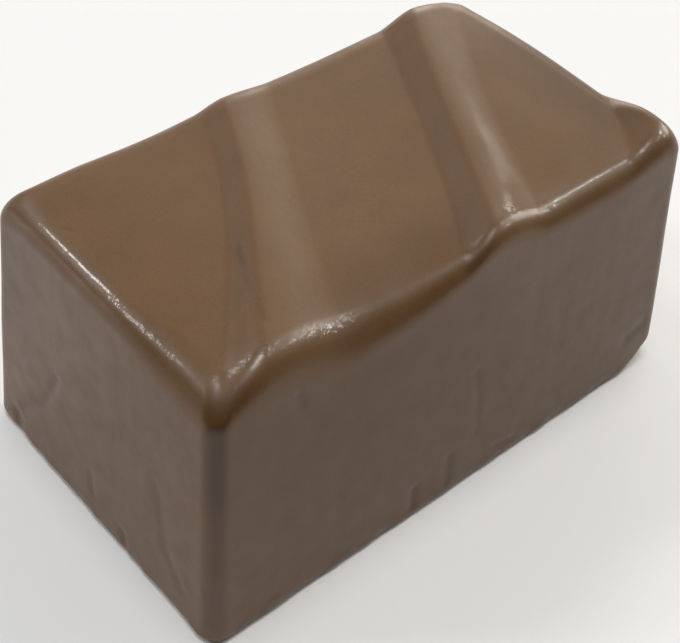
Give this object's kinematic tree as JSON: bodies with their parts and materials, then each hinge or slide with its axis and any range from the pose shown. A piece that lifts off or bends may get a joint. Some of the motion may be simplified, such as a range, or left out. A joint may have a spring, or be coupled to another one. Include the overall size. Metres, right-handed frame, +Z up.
{
  "type": "chocolate praline",
  "caption": "Moulded milk chocolate praline: a small drafted block with rounded edges and low wavy ridges running aslant across its top.",
  "frame": {"origin": "middle of the flat foot, which is the bottom centre of the bounding box", "axes": "+X along the block's length, +Y across it from the near long face to the far one, +Z up from the foot to the ridged top"},
  "size_m": [0.035, 0.0212, 0.0179],
  "materials": {
    "milk_chocolate": "moulded milk chocolate with a soft satin sheen, slightly rubbed on the side faces"
  },
  "bodies": {
    "root": {"praline": "milk_chocolate"}
  },
  "joints": []
}
